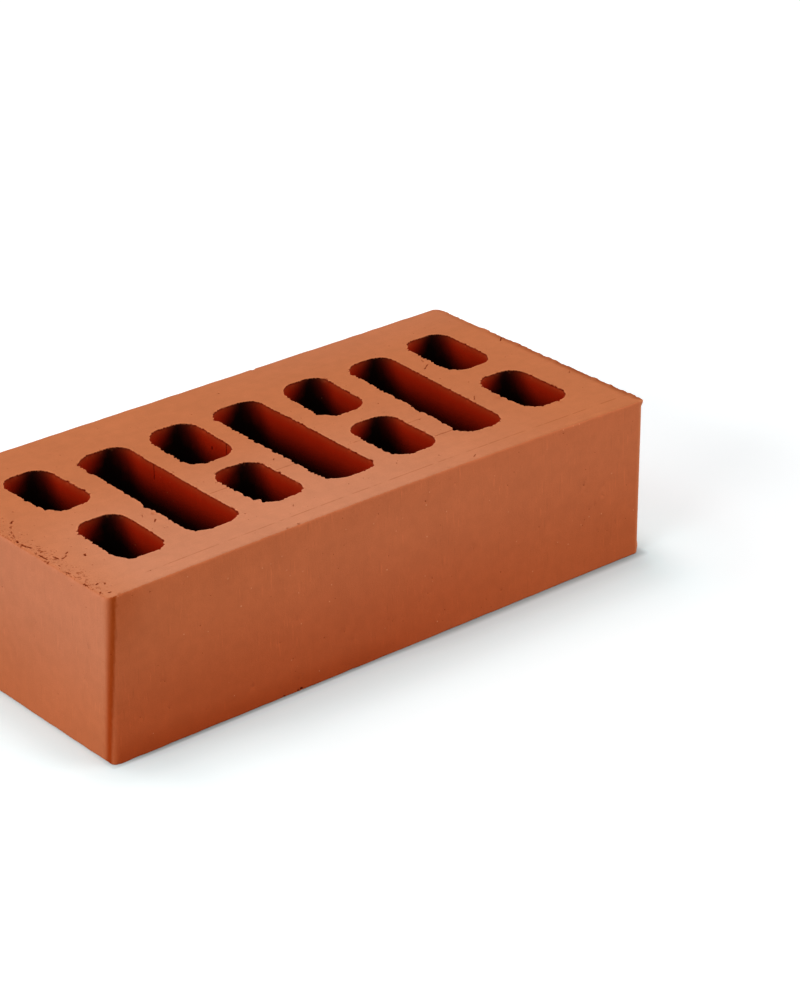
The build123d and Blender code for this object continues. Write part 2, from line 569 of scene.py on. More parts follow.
def build_wall(mesh, outline, lower, upper, spacing, dents):
    """One closed wall from the lower ring to the upper one. Its seam is at the outline's start."""
    around = outline.perimeter
    faces_out = outline is outer
    lower_places, lower_numbers = lower
    upper_places, upper_numbers = upper
    inner = graded_lattice((0, 0), (around, HEIGHT), spacing, LEVELS, dents)
    gap = np.minimum.reduce([inner[:, 0], around - inner[:, 0], inner[:, 1], HEIGHT - inner[:, 1]])
    inner = inner[gap > EDGE_CLEARANCE * spacing(inner)]
    rise = np.linspace(0, 1, SEAM_STEPS + 1)[1:-1]
    seam = HEIGHT * (0.5 - 0.5 * np.cos(math.pi * rise))
    seam_numbers = mesh.add(with_last(outline.points(np.zeros(len(seam))), seam))
    inner_numbers = mesh.add(with_last(outline.points(inner[:, 0]), inner[:, 1]))
    flat = np.vstack([
        with_last(lower_places, 0),
        with_last(upper_places, HEIGHT),
        with_last(np.zeros(len(seam)), seam),
        with_last(np.full(len(seam), around), seam),
        inner,
    ])
    numbers = np.concatenate([
        lower_numbers, lower_numbers[:1], upper_numbers, upper_numbers[:1],
        seam_numbers, seam_numbers, inner_numbers,
    ])
    mesh.triangulate(flat, numbers, lambda middle: np.ones(len(middle), bool), flip=not faces_out)
    for dent in dents:
        places = outline.points(np.array([dent.start[0], dent.end[0]]))
        start = np.append(places[0], dent.start[1])
        end = np.append(places[1], dent.end[1])
        normal = outline.nearest(start[None])[1][0]
        into_clay = np.append(-normal if faces_out else normal, 0)
        mesh.dents.append((dent, start, end, into_clay))


def growing(distance, finest, coarsest):
    """Spacing that grows with distance from where the detail is."""
    return np.minimum(finest + SPACING_GROWTH * np.maximum(distance, 0), coarsest)


def upper_bed_spacing(points):
    near_edge = growing(distance_to_edges(points) - EDGE_REACH, LIP_SPACING, BED_SPACING)
    near_scar = growing(points[:, 0] - low_corner.x - SCAR_FINE_REACH, SCAR_SPACING, BED_SPACING)
    return np.minimum(near_edge, near_scar)


def lower_bed_spacing(points):
    return growing(distance_to_edges(points) - EDGE_REACH, LOWER_LIP_SPACING, WALL_SPACING)


def outer_wall_spacing(points):
    from_top = growing(HEIGHT - points[:, 1] - UPPER_ARRIS_REACH, LIP_SPACING, WALL_SPACING)
    from_bottom = growing(points[:, 1] - LOWER_ARRIS_REACH, LIP_SPACING, WALL_SPACING)
    to_corner = np.full(len(points), LENGTH)
    for corner in CORNERS:
        start, end = outer.starts[corner], outer.starts[corner + 1]
        to_corner = np.minimum(to_corner, np.maximum(start - points[:, 0], points[:, 0] - end))
    return np.minimum.reduce([from_top, from_bottom, growing(to_corner, CORNER_SPACING, WALL_SPACING)])


def slot_wall_spacing(points):
    from_top = growing(HEIGHT - points[:, 1] - EDGE_REACH, LIP_SPACING, WALL_SPACING)
    from_bottom = growing(points[:, 1] - EDGE_REACH, LOWER_LIP_SPACING, WALL_SPACING)
    return np.minimum(from_top, from_bottom)


def add_ring(mesh, outline, spacing, height):
    """Evenly spaced points along an outline at one height. Returns how far along it they are, from 0
    up to its whole length with both ends included, and their numbers in the mesh."""
    count = int(round(outline.perimeter / spacing))
    travelled = np.linspace(0, outline.perimeter, count + 1)
    return travelled, mesh.add(with_last(outline.points(travelled[:-1]), height))


def build_rest_mesh():
    mesh = Mesh()
    upper = [add_ring(mesh, outline, LIP_SPACING, HEIGHT) for outline in outlines]
    lower = [add_ring(mesh, outer, LIP_SPACING, 0)]
    lower += [add_ring(mesh, slot, LOWER_LIP_SPACING, 0) for slot in slots.values()]
    rings = [ring[1] for ring in upper]
    build_bed(mesh, rings, upper_bed_spacing, LEVELS, HEIGHT, upper_bed_dents())
    rings = [ring[1] for ring in lower]
    build_bed(mesh, rings, lower_bed_spacing, LOWER_BED_LEVELS, 0, lower_bed_dents())
    build_wall(mesh, outer, lower[0], upper[0], outer_wall_spacing, outer_wall_dents())
    for (name, slot), below, above in zip(slots.items(), lower[1:], upper[1:]):
        build_wall(mesh, slot, below, above, slot_wall_spacing, slot_wall_dents(name))
    return mesh


# Relief: every part of it is worked out from a point's place alone, so the points that
# patches share stay shared


# The ways into the clay from three of the outer faces
FROM_MINUS_X = np.array([1, 0])
FROM_PLUS_X = np.array([-1, 0])
FROM_MINUS_Y = np.array([0, 1])


class Survey:
    """Where each point of the rest mesh lies: its nearest outline, and how far it is into the clay."""

    def __init__(self, points):
        self.points = points
        distances, ways = [], []
        for number, outline in enumerate(outlines):
            distance, normal = outline.nearest(points)
            sign = -1 if number == OUTER else 1
            distances.append(sign * distance)
            ways.append(sign * normal)
        self.distances = np.maximum(distances, 0)
        self.ways = np.array(ways)
        self.outline = np.argmin(distances, axis=0)
        chosen = self.outline, np.arange(len(points))
        self.inland = self.distances[chosen]
        self.way = self.ways[chosen]
        self.brink = points[:, :2] - self.inland[:, None] * self.way
        self.depth = HEIGHT - points[:, 2]
        self.rise = points[:, 2]
        self.outside = self.outline == OUTER

    def along_way(self, amount):
        """A move of that much into the clay."""
        return with_last(self.way * amount[:, None], 0)

    def by_face(self, into_clay):
        """1 where that way leads from an outer face into the clay, and less round the corners."""
        return self.outside * np.maximum(self.way @ into_clay, 0) ** 2


def upward(amount):
    return with_last(np.zeros((len(amount), 2)), amount)


def by_side(way, minus_x, plus_x, minus_y, plus_y):
    """A value by the way into the clay, blended round the corners. minus_x holds where that way
    points towards -X, which is at the brick's +X face and at a slot's -X wall."""
    x, y = way[:, 0], way[:, 1]
    value_x = np.where(x < 0, minus_x, plus_x)
    value_y = np.where(y < 0, minus_y, plus_y)
    return value_x * x ** 2 + value_y * y ** 2


# The slots lie a little off their drawn places and sizes, as the cores of a worn die do. For
# each: its move along x and along y, its lean, which is how far it moves towards +X for each
# step towards +Y, and what half its width and half its length gain. Moves are in millimetres.
SLOT_DRIFTS = {
    "short_slot_front_1": (1.4, -2.2, 0.037, -0.56, 0.0),
    "short_slot_back_1": (2.6, -0.2, -0.02, -0.6, 0.2),
    "long_slot_1": (2.1, -1.7, 0.025, 0.36, -0.83),
    "short_slot_front_2": (1.1, 0.7, -0.007, -0.3, -0.37),
    "short_slot_back_2": (2.1, -1.6, 0.057, 0.1, 0.1),
    "long_slot_2": (1.0, -0.6, 0.014, 0.45, -0.84),
    "short_slot_front_3": (-0.1, 0.0, 0.02, 0.0, -0.28),
    "short_slot_back_3": (2.1, -0.6, 0.084, 0.0, 0.0),
    "long_slot_3": (1.4, -1.1, 0.055, -0.3, -0.75),
    "short_slot_front_4": (1.7, 0.3, 0.016, 0.0, 0.1),
    "short_slot_back_4": (2.9, 0.9, 0.044, -0.1, 0.56),
}
SLOT_WOBBLE = 0.22 * MM
# A worn core's corners are rounder than the drawn ones. At the middle of a corner the outline lies
# about 0.4 times this far inside the drawn one. The corners are those towards -X and -Y, +X and -Y,
# -X and +Y, and +X and +Y.
CORNER_FILLS = np.array([1.0, 0.8, 1.7, 0.4]) * MM
# How close the clay lies to a slot where it moves with that slot alone
DRIFT_GRIP = 0.001 * MM
# How often before_drift corrects its places
DRIFT_ROUNDS = 8


def one_slot_drift(name, points, distance, way):
    """How one slot's outline moves, carried out to all points from the nearest place on it."""
    slot = slots[name]
    shift_x, shift_y, lean, wider, longer = SLOT_DRIFTS[name]
    brink = points[:, :2] - distance[:, None] * way
    shift = np.array([shift_x, shift_y]) * MM * np.ones((len(points), 1))
    shift[:, 0] += lean * (brink[:, 1] - slot.centre[1])
    growth = by_side(way, wider, wider, longer, longer) * MM
    corner = (way[:, 0] > 0) + 2 * (way[:, 1] > 0)
    fill = CORNER_FILLS[corner] * (np.abs(way).sum(axis=1) - 1)
    wobble = SLOT_WOBBLE * noise(brink, 9 * MM, 11)
    return shift + way * (growth - fill + wobble)[:, None]


def slot_drift(survey):
    """Slots a little out of place and out of true, from bed to bed. The clay between them moves
    with whichever of them it is nearer to, and the outer edge stays."""
    total = np.zeros((len(survey.points), 2))
    weights = 1 / np.maximum(survey.distances, DRIFT_GRIP) ** 2
    for name, number in slot_numbers.items():
        drift = one_slot_drift(name, survey.points, survey.distances[number], survey.ways[number])
        total += weights[number][:, None] * drift
    return with_last(total / weights.sum(axis=0)[:, None], 0)


def before_drift(places):
    """Where places on the upper bed, in millimetres, lie before the slots drift."""
    wanted = np.array(places, float) * MM
    rest = wanted.copy()
    for _ in range(DRIFT_ROUNDS):
        rest = wanted - slot_drift(Survey(with_last(rest, HEIGHT)))[:, :2]
    return rest


# How far the outer faces' waves reach into the shells round the slots
SHELL_REACH = 4.5 * MM
FACE_HOLLOW = 0.35 * MM
BED_HOLLOW = 0.2 * MM


def face_waves(survey):
    """The outer faces wave in by a few tenths of a millimetre."""
    broad = 0.5 + 0.5 * noise(survey.points, 70 * MM, 21)
    fine = 0.5 + 0.5 * noise(survey.points, 18 * MM, 22)
    amount = FACE_HOLLOW * (0.7 * broad + 0.3 * fine) * survey.outside
    amount *= fall(survey.inland, 0, SHELL_REACH)
    return survey.along_way(amount)


# The long face at -Y leans in: this far at the middle of its upper arris, and not at all at its foot
LONG_FACE_LEAN = 2.4 * MM


def long_face_lean(survey):
    """The long face at -Y is hollow along its upper arris, as the clay sagged while it was wet."""
    along = np.clip(1 - (survey.points[:, 0] / outer.half[0]) ** 2, 0, 1)
    amount = LONG_FACE_LEAN * along * survey.by_face(FROM_MINUS_Y) * survey.rise / HEIGHT
    return survey.along_way(amount * fall(survey.inland, 0, 2 * SHELL_REACH))


def bed_waves(survey):
    """The upper bed dips and the lower one lifts a little, most of all away from the arrises."""
    place = survey.points[:, :2]
    dip = BED_HOLLOW * (0.5 + 0.35 * noise(place, 45 * MM, 31) + 0.15 * noise(place, 9 * MM, 32))
    lift = 0.6 * BED_HOLLOW * (0.5 + 0.5 * noise(place, 50 * MM, 33))
    lift *= ramp(survey.inland, 0, 8 * MM)
    reach = 6 * MM
    return upward(lift * fall(survey.rise, 0, reach) - dip * fall(survey.depth, 0, reach))


def rounded(survey, depth, radius):
    """Points near an outer arris, moved onto a quarter circle. Returns how far in and how far deeper."""
    back = np.maximum(radius - survey.inland, 0)
    down = np.maximum(radius - depth, 0)
    reach = np.hypot(back, down)
    near = survey.outside & (back > 0) & (down > 0)
    pull = np.where(near, 1 - radius / np.maximum(reach, radius), 0)
    return back * pull, down * pull


def outer_arrises(survey):
    """The brick's long and short outer edges, above and below."""
    rough = 0.5 + 0.5 * noise(survey.brink, 5 * MM, 41)
    upper_radius = by_side(survey.way, 0.45, 0.6, 0.8, 1.25) * MM * (0.75 + 0.5 * rough)
    lower_radius = by_side(survey.way, 0.5, 0.7, 0.7, 0.7) * MM * (0.7 + 0.6 * rough)
    inward, deeper = rounded(survey, survey.depth, upper_radius)
    move = survey.along_way(inward) - upward(deeper)
    inward, higher = rounded(survey, survey.rise, lower_radius)
    return move + survey.along_way(inward) + upward(higher)


def lip_bites(survey):
    """The wire tears small teeth out of the slots' upper lips. Returns the move, how raw the clay is
    and the painted shadow in the small hollows under the lips."""
    depth_of_tear = by_side(survey.way, 0.85, 0.85, 0.42, 0.7) * MM * ~survey.outside
    teeth = 0.65 * noise(survey.brink, 0.9 * MM, 51) + 0.35 * noise(survey.brink, 2.3 * MM, 52)
    patches = 0.7 + 0.3 * noise(survey.brink, 12 * MM, 53)
    bite = ramp(teeth, 0.0, 0.5) * patches
    crumbs = ramp(-teeth, 0.15, 0.6)
    on_bed = np.clip(1 - survey.inland / (1.2 * MM), 0, 1) ** 2
    tear_height = (1.1 + 0.6 * noise(survey.brink, 1.6 * MM, 54)) * MM
    on_wall = np.clip(1 - survey.depth / tear_height, 0, 1)
    fade = on_bed * on_wall * (survey.depth < 2 * MM)
    move = survey.along_way((bite - 0.3 * crumbs) * depth_of_tear * fade)
    move -= upward((0.4 * bite + 0.1) * depth_of_tear * fade * (survey.depth < ON_SURFACE))
    raw = 0.5 * bite * fade * (depth_of_tear > 0)
    # Painted shadow under the lips, on the top millimetre of the slots' walls, patchy with the teeth
    under = ramp(survey.depth, 0.0, 0.2 * MM) * fall(survey.depth, 0.4 * MM, 1.1 * MM) * ~survey.outside
    uneven = ramp(bite + 0.5 * noise(survey.points, 0.9 * MM, 55), 0.0, 0.7)
    lip_shadows = under * (0.45 + 0.55 * uneven)
    return move, raw, lip_shadows


def torn_edges(survey):
    """The -X arris is torn and the +X one has a ragged burr. Returns the move, how raw the clay is
    and how dark its bruises are."""
    at_start = survey.by_face(FROM_MINUS_X)
    at_finish = survey.by_face(FROM_PLUS_X)
    coarse = noise(survey.brink, 3.6 * MM, 61)
    fine = noise(survey.brink, 1.3 * MM, 62)
    on_bed = np.clip(1 - survey.inland / (1.6 * MM), 0, 1)
    on_wall = np.clip(1 - survey.depth / (2.2 * MM), 0, 1) ** 1.5
    fade = on_bed * on_wall
    torn = (ramp(coarse, -0.2, 0.7) * 0.55 + ramp(fine, 0, 0.8) * 0.35) * at_start
    burr = (0.14 * coarse + 0.24 * fine - 0.05) * at_finish
    inward = (torn + burr * fall(survey.depth, 0.2 * MM, 1.8 * MM)) * MM * fade
    sunk = (0.5 * torn + 0.12 * at_finish * (1 + fine)) * MM * fade
    near_bed = fall(survey.depth, 0.1 * MM, 0.8 * MM)
    raw = 0.4 * at_start * on_bed * near_bed + 0.3 * at_finish * ramp(fine, 0.1, 0.7) * fade
    rim = at_finish * fall(survey.inland, 0.3 * MM, 4.2 * MM) * np.clip(0.9 + 0.5 * fine, 0, 1)
    bruise = 0.5 * rim * finish_rim(survey.points[:, 1]) * fall(survey.depth, 0.3 * MM, 1.5 * MM)
    return survey.along_way(inward) - upward(sunk), raw, bruise


def scar(survey):
    """How thick the torn -X arris is with specks, on the bed beside it."""
    at_start = survey.by_face(FROM_MINUS_X)
    y = survey.points[:, 1]
    along = ramp(y, SCAR_START - 6 * MM, SCAR_START + 2 * MM) * (1 - 0.6 * ramp(y, 0, SCAR_END))
    patches = 0.75 + 0.5 * noise(survey.points, 8 * MM, 63)
    near = fall(survey.inland, 0.5 * MM, SCAR_REACH + 1.5 * MM)
    return at_start * along * patches * near * fall(survey.depth, 0.1 * MM, 0.8 * MM)


# Stretches of the +X arris where its torn rim is darkest: middle and half length, in millimetres
DARK_RIMS = [(-49, 9), (-20, 14), (10, 5)]


def finish_rim(y):
    """How dark the torn rim of the +X arris is, along its length."""
    level = 0.85 - 0.6 * ramp(y, 14 * MM, 34 * MM)
    for middle, half in DARK_RIMS:
        level = np.maximum(level, fall(np.abs(y - middle * MM), 0.5 * half * MM, half * MM))
    return level


def dent_relief(mesh):
    """Pits, fissures, drag marks and crumbs. Returns the move, how dark each point is with the
    painted shade of the dents, and how pale the crumbs make it.
    """
    move = np.zeros((len(mesh.points), 3))
    dark = np.zeros(len(mesh.points))
    pale = np.zeros(len(mesh.points))
    for dent, start, end, into_clay in mesh.dents:
        middle = (start + end) / 2
        reach = np.linalg.norm(end - start) / 2 + 1.5 * dent.radius
        near = np.flatnonzero((np.abs(mesh.points - middle) < reach).all(axis=1))
        place = mesh.points[near]
        ragged = 1 + 0.4 * noise(place, 1.1 * dent.radius, 71)
        wander = [noise(place, 2.5 * dent.radius, seed) for seed in (73, 74, 75)]
        wandered = place + 0.6 * dent.radius * np.column_stack(wander)
        distance = distance_to_run(wandered, start, end) * ragged
        distance = np.maximum(distance, distance_to_run(place, start, end))
        share = np.clip(distance / dent.radius, 0, 1)
        move[near] += dent.depth * ((1 - share ** 2) ** 1.5)[:, None] * into_clay
        tone = dark if dent.darkness > 0 else pale
        level = abs(dent.darkness) * np.minimum(0.95 + 0.4 * noise(place, 1.8 * dent.radius, 72), 1)
        tone[near] = np.maximum(tone[near], ramp(1 - share, 0, 0.6) * level)
    return move, dark, pale


# How far a chip and a burr move along Z, as a share of their move into the clay
CHIP_SLOPE = 0.5
BURR_SLOPE = 0.15
# Chips below this radius, in millimetres, show this much torn clay
LARGEST_RAW_CHIP = 3
CHIP_RAWNESS = 0.6
# Chips out of arrises and burrs on them: x, y, z, radius and move into the clay in millimetres
CHIPS = [
    (-122.6, -59.6, 0, 1.0, 0.2),
    (-125, 47, 0, 2.2, 0.7), (-125, 12, 0, 1.4, 0.35), (62, 60, 0, 2.4, 0.8), (125, 21, 0, 1.8, 0.6),
    (124.6, 59.6, 65, 2.6, 0.3),
    (-119.0, -60, 65, 1.2, 0.35), (-40.6, -60, 65, 0.9, 0.4), (-45.8, -60, 65, 0.7, 0.3),
    (125, -60, 64.2, 2.6, -0.9), (125, -59.5, 3.0, 2.4, -0.3), (30, 60, 65, 1.5, 0.4),
    (-88, 60, 65, 1.1, 0.3),
    (-51.2, -8.8, 65, 1.3, 0.6), (-50.2, 25.0, 65, 1.2, 0.5), (-21.0, -19.8, 65, 1.3, 0.7),
    (-20.2, -30.0, 65, 1.3, 0.6), (-19.3, 24.8, 65, 1.2, 0.5), (11.3, -21.4, 65, 1.3, 0.6),
    (41.9, -27.4, 65, 1.2, 0.5), (41.9, -20.7, 65, 1.2, 0.5), (106.0, -18.6, 65, 1.2, 0.5),
    (106.5, -26.4, 65, 1.2, 0.5), (73.6, -25.2, 65, 1.0, 0.3), (99.1, -40.2, 65, 1.1, 0.6),
    (0.4, 37.6, 65, 1.1, 0.4), (66.5, 36.0, 65, 1.0, 0.4), (68.0, 35.0, 65, 1.0, 0.4),
    (-73.9, -17.7, 65, 1.4, 1.0), (-73.2, -11.5, 65, 4.0, 0.5), (53.2, -11.0, 65, 4.0, 0.6),
    (52.2, -33.3, 65, 1.4, 0.8), (84.5, -22.5, 65, 2.6, 0.5), (43.6, 33.8, 65, 2.6, 0.7),
    (-40.9, -33.9, 65, 2.0, -1.5), (-102.6, 12.0, 65, 2.4, -0.6), (-101.4, 6.4, 65, 3.0, -0.7),
    (23.4, 6.6, 65, 3.0, -0.7), (87.6, 6.5, 65, 3.0, -0.7), (107.2, 35.7, 65, 1.3, -0.6),
    (-86.6, -11.5, 65, 1.0, -0.5), (84.4, -31.4, 65, 0.9, -0.5), (84.2, -35.5, 65, 0.9, -0.5),
]


def chip_relief(survey, places):
    """Small single losses and burrs at the slots' drifted lips and on the arrises, read from the
    photograph, and a few on the hidden sides."""
    move = np.zeros((len(places), 3))
    raw = np.zeros(len(places))
    for x, y, z, radius, size in CHIPS:
        share = np.linalg.norm(places - np.array([x, y, z]) * MM, axis=1) / (radius * MM)
        bowl = np.clip(1 - share ** 2, 0, 1) ** 1.5
        slope = CHIP_SLOPE if size > 0 else BURR_SLOPE
        if z * MM > HEIGHT / 2:
            slope = -slope
        move += survey.along_way(bowl * size * MM) + upward(bowl * size * MM * slope)
        if size > 0 and radius < LARGEST_RAW_CHIP:
            raw = np.maximum(raw, CHIP_RAWNESS * bowl)
    return move, raw


def slot_light(survey):
    """How much of their colour the slots' walls show, the rest being painted black. The black is painted
    shade deep down, and painted shadow at the end of each wall that lies behind its neighbour's shoulder."""
    deepest = 18.5 * MM
    mouth = np.minimum(np.minimum(survey.depth, survey.rise), deepest)
    light = np.zeros(len(survey.points))
    for name, number in slot_numbers.items():
        here = survey.outline == number
        slot = slots[name]
        way = survey.way[here]
        deep = mouth[here]
        from_centre = survey.brink[here] - slot.centre
        from_end = slot.half[1] - np.sign(way[:, 0]) * from_centre[:, 1]
        from_side = slot.half[0] + np.sign(way[:, 1]) * from_centre[:, 0]
        on_side = ramp(from_end, 0.6 * deep - 5 * MM, 0.65 * deep + 10.5 * MM)
        on_end = fall(from_side, 6.6 * MM - 0.25 * deep, 18.2 * MM - 0.65 * deep)
        light[here] = on_side * way[:, 0] ** 2 + on_end * way[:, 1] ** 2
    return light * fall(mouth, 4 * MM, deepest)


# Where the middle of the dark band lies at the foot, counted from the middle of the corner towards
# the long face, and how far it moves that way for each step up
BAND_FOOT = -2.35 * MM
BAND_SLANT = 0.078
# A way with a larger part than this along X or Y leads from a straight side
STRAIGHT = 0.9999


def corner_band(survey):
    """A dark band down the upright corners at the -X end.
    It is sharp towards the long face, soft towards the short one, and slants a little."""
    turned = np.arctan2(np.abs(survey.way[:, 1]), np.abs(survey.way[:, 0]))
    arc = UPRIGHT_CORNER_RADIUS * (turned - math.pi / 4)
    beyond = outer.straight - np.abs(survey.points[:, :2])
    onto_faces = np.maximum(beyond[:, 0], 0) - np.maximum(beyond[:, 1], 0)
    on_face = np.abs(survey.way).max(axis=1) > STRAIGHT
    past_corner = arc + np.where(on_face, onto_faces, 0)
    middle = BAND_FOOT + BAND_SLANT * survey.rise
    from_middle = past_corner - middle
    band = ramp(from_middle, -3.6 * MM, -0.3 * MM) * fall(from_middle, 0.4 * MM, 1.7 * MM)
    tail = ramp(from_middle, 0, 1 * MM) * fall(from_middle, 3 * MM, 18 * MM)
    band = np.maximum(band, 0.35 * tail * ramp(survey.rise, 30 * MM, 62 * MM))
    return band * survey.outside * (survey.inland < ON_SURFACE) * (survey.points[:, 0] < 0)


def pale_corner(survey):
    """The upright corners at the +X end are rubbed a little pale."""
    bend = 2 * np.abs(survey.way[:, 0] * survey.way[:, 1])
    return 0.5 * bend * survey.outside * (survey.inland < ON_SURFACE) * (survey.points[:, 0] > 0)


def relieve(mesh):
    """The relieved points and, for the material, a few values for each of them."""
    survey = Survey(mesh.points)
    drift = slot_drift(survey)
    lips, raw_lips, lip_shadows = lip_bites(survey)
    torn, raw_edges, bruises = torn_edges(survey)
    dents, dark, pale = dent_relief(mesh)
    chips, raw_chips = chip_relief(survey, mesh.points + drift)
    waves = face_waves(survey) + long_face_lean(survey) + bed_waves(survey)
    moves = [drift, waves, outer_arrises(survey), lips, torn, dents, chips]
    points = mesh.points + sum(moves)
    points[:, 2] -= points[:, 2].min()
    mouth = np.minimum(survey.depth, survey.rise)
    on_bed = mouth < ON_SURFACE
    values = {
        "bed": on_bed.astype(float),
        "slot_wall": (~survey.outside & ~on_bed).astype(float),
        # Painted shade of the slots' walls: slot_light is 0 where they are painted black, deep down and at
        # their shadowed ends, and slot_rim is 1 at the lip, where the painted shade is lightest
        "slot_light": slot_light(survey),
        "slot_rim": fall(mouth, 0, 4 * MM),
        # Where the painted highlight lies along the slots' lips
        "lip": on_bed * ~survey.outside * fall(survey.inland, 0.2 * MM, 1.1 * MM),
        "stretcher": survey.outside * survey.way[:, 1] ** 2,
        "corner": corner_band(survey),
        "scar": scar(survey),
        "raw": np.maximum.reduce([raw_lips, raw_edges, raw_chips]),
        # dark: painted shade in the dents and under the slots' lips, and the dark torn rim of the +X arris
        "dark": np.maximum.reduce([dark, bruises, lip_shadows]),
        "pale": np.maximum(pale, pale_corner(survey)),
    }
    return points, values


# The brick


def brick_object():
    mesh = build_rest_mesh()
    points, values = relieve(mesh)
    used, corners = np.unique(np.vstack(mesh.triangles), return_inverse=True)
    triangles = corners.reshape(-1, 3)
    data = bpy.data.meshes.new("brick_body")
    data.from_pydata(points[used].tolist(), [], triangles.tolist())
    data.update()
    data.shade_smooth()
    data.set_sharp_from_angle(angle=math.radians(SHARP_ANGLE))
    for name, value in values.items():
        attribute = data.attributes.new(name, "FLOAT", "POINT")
        attribute.data.foreach_set("value", value[used].astype(np.float32))
    piece = bpy.data.objects.new("brick_body", data)
    bpy.context.scene.collection.objects.link(piece)
    return piece


# Materials. Lengths in the nodes are in metres, as in the object's own coordinates


class Shader:
    """Nodes of one material, with short names for the few kinds that are used."""

    def __init__(self, name):
        self.material = bpy.data.materials.new(name)
        self.material.use_nodes = True
        self.tree = self.material.node_tree
        self.surface = self.tree.nodes["Principled BSDF"]

    def feed(self, socket, value):
        """Link an input to another node's output, or set it to a value."""
        if isinstance(value, bpy.types.NodeSocket):
            self.tree.links.new(value, socket)
        else:
            socket.default_value = value

    def node(self, kind, settings, inputs):
        made = self.tree.nodes.new(kind)
        for name, value in settings.items():
            setattr(made, name, value)
        for name, value in inputs.items():
            self.feed(made.inputs[name], value)
        return made

    def attribute(self, name):
        return self.node("ShaderNodeAttribute", {"attribute_name": name}, {}).outputs["Fac"]

    def place(self):
        """The object's own coordinates."""
        return self.node("ShaderNodeTexCoord", {}, {}).outputs["Object"]

    def place_parts(self):
        """The object's own X, Y and Z, one by one."""
        parts = self.node("ShaderNodeSeparateXYZ", {}, {"Vector": self.place()}).outputs
        return parts["X"], parts["Y"], parts["Z"]

    def scaled_place(self, x, y, z):
        """Object coordinates, with this many units to the millimetre along each axis."""
        inputs = {"Vector": self.place(), "Scale": (x / MM, y / MM, z / MM)}
        return self.node("ShaderNodeMapping", {}, inputs).outputs["Vector"]

    def noise(self, place, detail=2.0, roughness=0.5):
        """Noise about 0.5, with features of about 1 unit of the place."""
        inputs = {"Vector": place, "Scale": 1.0, "Detail": detail, "Roughness": roughness}
        return self.node("ShaderNodeTexNoise", {}, inputs).outputs["Fac"]

    def specks(self, cells_to_millimetre, size, share):
        """1 at the middle of scattered spots, in that share of the cells, and 0 elsewhere."""
        place = self.scaled_place(cells_to_millimetre, cells_to_millimetre, cells_to_millimetre)
        cells = self.node("ShaderNodeTexVoronoi", {}, {"Vector": place, "Scale": 1.0}).outputs
        spot = self.remap(cells["Distance"], size, 0.3 * size)
        pick = self.node("ShaderNodeSeparateColor", {}, {"Color": cells["Color"]}).outputs["Red"]
        return self.times(spot, self.math("LESS_THAN", pick, share))

    def operate(self, kind, operation, values):
        made = self.node(kind, {"operation": operation}, {})
        for socket, value in zip(made.inputs, values):
            self.feed(socket, value)
        return made.outputs

    def math(self, operation, *values):
        return self.operate("ShaderNodeMath", operation, values)["Value"]

    def vector_math(self, operation, *values):
        return self.operate("ShaderNodeVectorMath", operation, values)

    def one_after_another(self, operation, first, *others):
        for other in others:
            first = self.math(operation, first, other)
        return first

    def times(self, *values):
        return self.one_after_another("MULTIPLY", *values)

    def plus(self, *values):
        return self.one_after_another("ADD", *values)

    def largest(self, *values):
        return self.one_after_another("MAXIMUM", *values)

    def minus(self, first, second):
        return self.math("SUBTRACT", first, second)

    def remap(self, value, start, end, low=0.0, high=1.0):
        """low up to the start, high from the end on, and smooth between them."""
        made = self.node("ShaderNodeMapRange", {"interpolation_type": "SMOOTHSTEP"}, {
            "Value": value, "From Min": start, "From Max": end, "To Min": low, "To Max": high,
        })
        return made.outputs["Result"]

    def shade(self, value, spread):
        """A grey that multiplies a colour, from noise about 0.5."""
        return self.remap(value, *NOISE_RANGE, 1 - spread, 1 + spread)

    def mix(self, factor, first, second, blend="MIX"):
        settings = {"data_type": "RGBA", "blend_type": blend}
        made = self.node("ShaderNodeMix", settings, {})
        wanted = {"Factor_Float": factor, "A_Color": first, "B_Color": second}
        for socket in made.inputs:
            if socket.identifier in wanted:
                value = wanted[socket.identifier]
                self.feed(socket, (*value, 1) if isinstance(value, tuple) else value)
        return next(socket for socket in made.outputs if socket.identifier == "Result_Color")

    def tinted(self, colour, *tints):
        """A colour multiplied by other colours, or by numbers."""
        for tint in tints:
            colour = self.mix(1.0, colour, tint, "MULTIPLY")
        return colour

    def bump(self, height, distance, **normal):
        inputs = {"Height": height, "Distance": distance, **normal}
        return self.node("ShaderNodeBump", {}, inputs).outputs["Normal"]

    def finish(self, colour, roughness, specular_level):
        self.feed(self.surface.inputs["Base Color"], colour)
        self.surface.inputs["Roughness"].default_value = roughness
        self.surface.inputs["Specular IOR Level"].default_value = specular_level
        return self.material


# Most of a noise node's output lies between these
NOISE_RANGE = (0.25, 0.75)

WHITE = (1.0, 1.0, 1.0)
# The beds: plain, with painted sheen that makes the near side pale, and at the far corner
WIRE_CUT_CLAY = (0.572, 0.177, 0.068)
BED_PAINTED_SHEEN = (0.645, 0.241, 0.124)
FAR_CLAY = (0.575, 0.186, 0.080)
# The short faces, the long ones near and far, and the band down the near corner
HEADER_CLAY = (0.622, 0.211, 0.104)
STRETCHER_CLAY = (0.655, 0.168, 0.060)
STRETCHER_FAR_CLAY = (0.66, 0.175, 0.067)
CORNER_CLAY = (0.40, 0.062, 0.008)
# Painted shade that multiplies the faces' colours towards the foot, and right at the foot of the long faces
HEADER_FOOT_SHADE = (0.93, 0.76, 0.585)
STRETCHER_FOOT_SHADE = (0.84, 0.60, 0.45)
STRETCHER_FAR_FOOT_SHADE = (0.88, 0.71, 0.56)
STRETCHER_CONTACT_SHADE = (0.85, 0.71, 0.57)
FOOT_HEIGHT = 56 * MM
CONTACT_HEIGHT = 12 * MM
